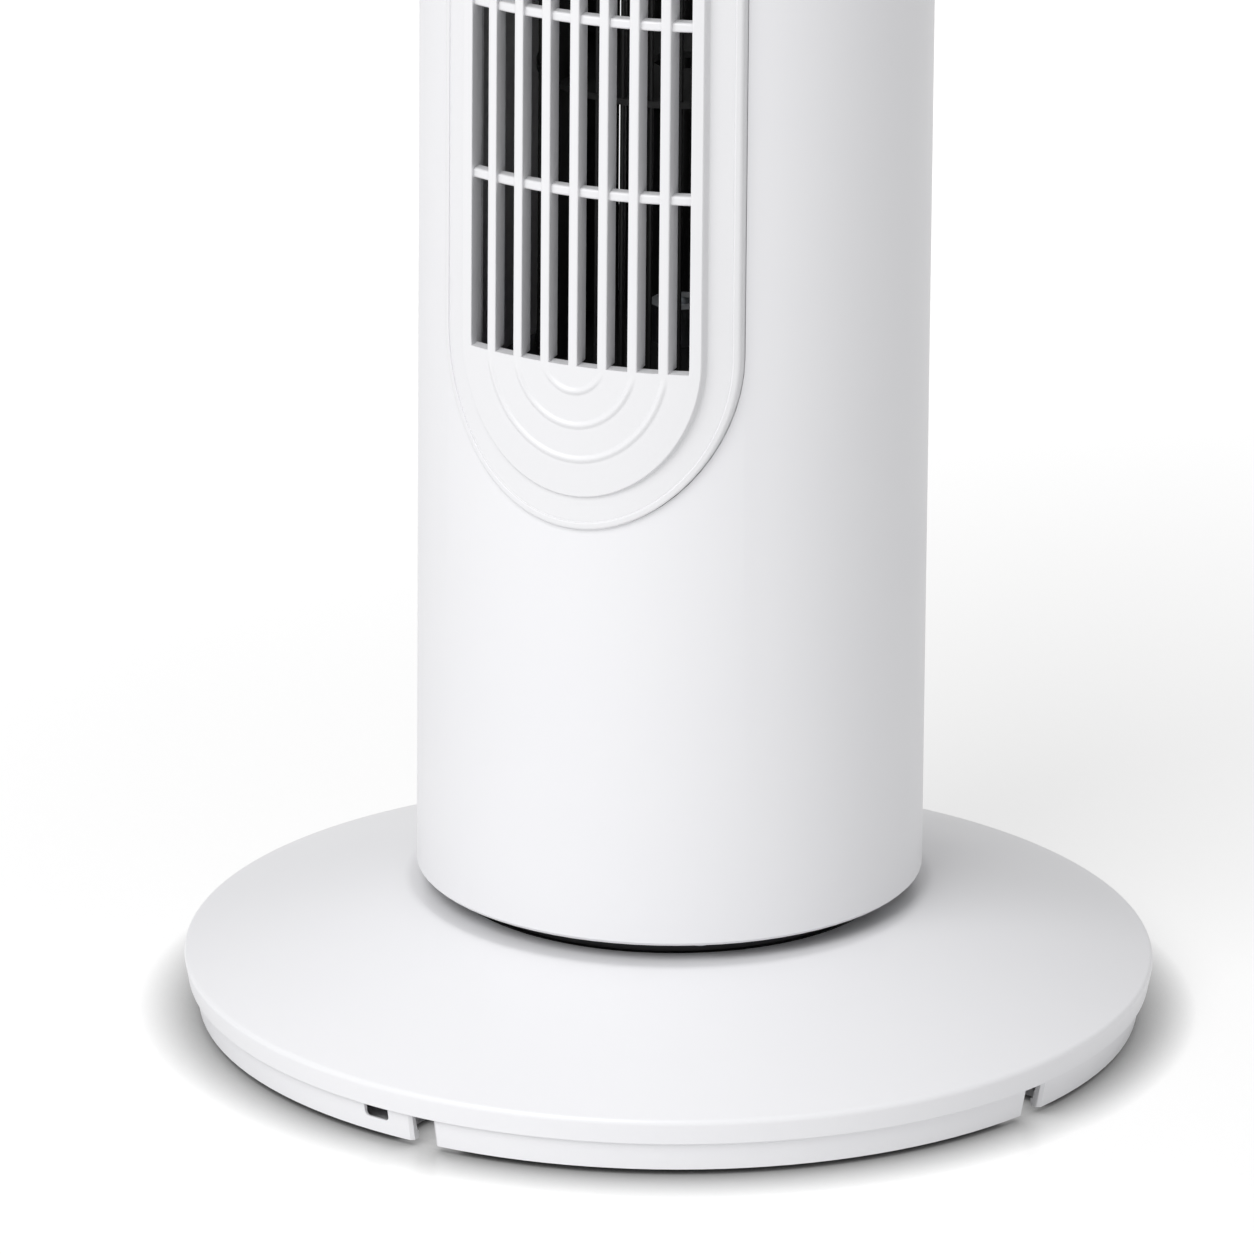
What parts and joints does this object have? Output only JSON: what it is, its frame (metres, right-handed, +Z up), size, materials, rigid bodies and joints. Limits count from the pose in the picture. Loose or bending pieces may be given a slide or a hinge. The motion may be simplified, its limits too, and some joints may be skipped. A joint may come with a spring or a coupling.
{
  "type": "tower fan",
  "caption": "Free-standing tower fan: a tall round column with a front air outlet grille that swings on a round floor base and blows room air.",
  "frame": {"origin": "on the floor, in the middle of the base, under the column's axis", "axes": "+Z up along the column; the air outlet faces -Y; +X is to the right of someone who looks at the outlet"},
  "size_m": [0.2994, 0.2994, 0.7916],
  "materials": {
    "shell_white": "moulded ABS, fine satin",
    "base_white": "moulded ABS, fine satin",
    "grille_white": "moulded ABS, fine satin",
    "button_grey": "moulded ABS",
    "panel_white": "moulded ABS, fine satin",
    "duct_grey": "moulded polypropylene",
    "impeller_black": "moulded glass-filled nylon",
    "bulkhead_grey": "moulded ABS",
    "acetal_black": "acetal, self lubricating",
    "acetal_natural": "acetal, self lubricating",
    "foot_rubber": "nitrile rubber",
    "zinc_steel": "zinc plated",
    "motor_steel": "pressed steel",
    "lamination": "stacked electrical steel",
    "shaft_steel": "ground",
    "winding_copper": "enamelled copper",
    "bush_bronze": "sintered bronze",
    "switch_beige": "moulded nylon",
    "loom_sleeve": "woven sleeve over insulated leads"
  },
  "bodies": {
    "base": {"base_cover": "base_white", "base_tray": "base_white", "rubber_feet": "foot_rubber", "base_screws": "zinc_steel", "pivot_post": "acetal_black", "post_screws": "zinc_steel", "fixed_gear": "acetal_natural", "gear_screws": "zinc_steel", "thrust_washer": "acetal_natural", "slide_ring": "acetal_black", "retaining_clip": "zinc_steel"},
    "tower": {"air_scroll": "duct_grey", "air_tongue": "duct_grey", "bearing_plate": "bulkhead_grey", "bearing_rubber_ring": "foot_rubber", "column_screws": "zinc_steel", "control_panel": "panel_white", "front_grille": "grille_white", "front_shell": "shell_white", "handle_cup": "shell_white", "loom_clips": "acetal_natural", "motor_bolts": "zinc_steel", "motor_bushes": "bush_bronze", "motor_grommets": "foot_rubber", "motor_housing_lower": "motor_steel", "motor_housing_upper": "motor_steel", "motor_plate": "bulkhead_grey", "rear_grille": "grille_white", "rear_shell": "shell_white", "run_capacitor": "switch_beige", "shell_screws": "zinc_steel", "stator_core": "lamination", "stator_windings": "winding_copper", "swing_motor": "motor_steel", "swing_motor_screws": "zinc_steel", "switch_block": "switch_beige", "terminal_block": "switch_beige", "timer_body": "switch_beige", "top_bearing": "bush_bronze", "top_cap": "shell_white", "turntable_plate": "bulkhead_grey", "wiring_loom": "loom_sleeve"},
    "impeller": {"impeller_section_1": "impeller_black", "impeller_section_2": "impeller_black", "impeller_section_3": "impeller_black", "impeller_section_4": "impeller_black", "impeller_section_5": "impeller_black", "impeller_end_disc": "impeller_black", "impeller_hub": "motor_steel", "hub_set_screw": "zinc_steel", "motor_shaft": "shaft_steel", "motor_rotor": "lamination"},
    "pinion": {"drive_pinion": "acetal_natural"},
    "off_key": {"button_off": "button_grey"},
    "low_key": {"button_low": "button_grey"},
    "medium_key": {"button_medium": "button_grey"},
    "high_key": {"button_high": "button_grey"},
    "swing_key": {"button_swing": "button_grey"},
    "timer_dial": {"timer_knob": "button_grey"}
  },
  "joints": [
    {"name": "oscillation", "type": "hinge", "parent": "base", "child": "tower", "pos_m": [0, 0, 0.05], "axis": [0, 0, 1], "range_deg": [-35, 35]},
    {"name": "impeller_spin", "type": "hinge", "parent": "tower", "child": "impeller", "pos_m": [0, 0.004, 0.4], "axis": [0, 0, 1], "continuous": true},
    {"name": "pinion_turn", "type": "hinge", "parent": "tower", "child": "pinion", "pos_m": [0, 0.045, 0.04], "axis": [0, 0, 1], "range_deg": [-140, 140]},
    {"name": "timer_turn", "type": "hinge", "parent": "tower", "child": "timer_dial", "pos_m": [0, 0.026, 0.78], "axis": [0, 0, -1], "range_deg": [0, 300]},
    {"name": "off_press", "type": "slide", "parent": "tower", "child": "off_key", "axis": [0, 0, -1], "range_m": [0, 0.003], "stiffness_N_per_m": 400, "springref_m": -0.0005},
    {"name": "low_press", "type": "slide", "parent": "tower", "child": "low_key", "axis": [0, 0, -1], "range_m": [0, 0.003], "stiffness_N_per_m": 400, "springref_m": -0.0005},
    {"name": "medium_press", "type": "slide", "parent": "tower", "child": "medium_key", "axis": [0, 0, -1], "range_m": [0, 0.003], "stiffness_N_per_m": 400, "springref_m": -0.0005},
    {"name": "high_press", "type": "slide", "parent": "tower", "child": "high_key", "axis": [0, 0, -1], "range_m": [0, 0.003], "stiffness_N_per_m": 400, "springref_m": -0.0005},
    {"name": "swing_press", "type": "slide", "parent": "tower", "child": "swing_key", "axis": [0, 0, -1], "range_m": [0, 0.003], "stiffness_N_per_m": 400, "springref_m": -0.0005}
  ],
  "couplings": [
    {"joint": "pinion_turn", "follows": "oscillation", "ratio": 4}
  ]
}
